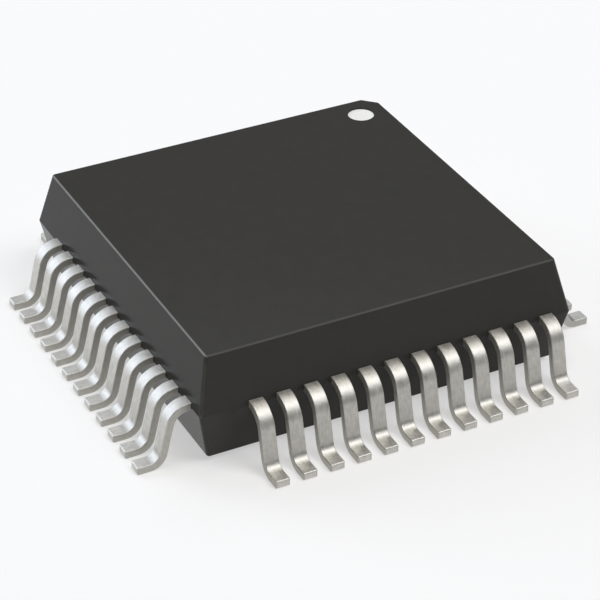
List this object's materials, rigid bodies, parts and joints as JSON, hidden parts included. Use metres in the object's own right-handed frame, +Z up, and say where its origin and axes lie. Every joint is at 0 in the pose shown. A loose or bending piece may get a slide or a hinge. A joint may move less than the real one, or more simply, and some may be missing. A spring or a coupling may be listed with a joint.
{
  "type": "digital-to-analog converter",
  "caption": "Square moulded surface-mount converter chip package with gull-wing leads on all four sides and a round mark at the chamfered first-lead corner.",
  "frame": {"origin": "centre of the seating plane that the lead feet stand on", "axes": "+Z up, out of the top face; leads 1 to 12 are on the -X side, counted from +Y to -Y; the chamfered corner with the round mark is at -X, +Y"},
  "size_m": [0.009, 0.009, 0.0021],
  "materials": {
    "epoxy_moulding": "black silica-filled epoxy moulding compound, fine spark-eroded mould texture",
    "mark_fill": "white marking fill",
    "matte_tin": "matte tin plate on a copper alloy strip",
    "copper_strip": "bare stamped copper alloy",
    "silver_adhesive": "cured silver-filled adhesive",
    "silicon": "polished silicon",
    "gold_wire": "drawn gold wire"
  },
  "bodies": {
    "root": {"mould_body": "epoxy_moulding", "pin_1_mark": "mark_fill", "die_paddle": "copper_strip", "die_attach": "silver_adhesive", "silicon_die": "silicon", "bond_wires": "gold_wire", "lead_01": "matte_tin", "lead_02": "matte_tin", "lead_03": "matte_tin", "lead_04": "matte_tin", "lead_05": "matte_tin", "lead_06": "matte_tin", "lead_07": "matte_tin", "lead_08": "matte_tin", "lead_09": "matte_tin", "lead_10": "matte_tin", "lead_11": "matte_tin", "lead_12": "matte_tin", "lead_13": "matte_tin", "lead_14": "matte_tin", "lead_15": "matte_tin", "lead_16": "matte_tin", "lead_17": "matte_tin", "lead_18": "matte_tin", "lead_19": "matte_tin", "lead_20": "matte_tin", "lead_21": "matte_tin", "lead_22": "matte_tin", "lead_23": "matte_tin", "lead_24": "matte_tin", "lead_25": "matte_tin", "lead_26": "matte_tin", "lead_27": "matte_tin", "lead_28": "matte_tin", "lead_29": "matte_tin", "lead_30": "matte_tin", "lead_31": "matte_tin", "lead_32": "matte_tin", "lead_33": "matte_tin", "lead_34": "matte_tin", "lead_35": "matte_tin", "lead_36": "matte_tin", "lead_37": "matte_tin", "lead_38": "matte_tin", "lead_39": "matte_tin", "lead_40": "matte_tin", "lead_41": "matte_tin", "lead_42": "matte_tin", "lead_43": "matte_tin", "lead_44": "matte_tin", "lead_45": "matte_tin", "lead_46": "matte_tin", "lead_47": "matte_tin", "lead_48": "matte_tin"}
  },
  "joints": []
}
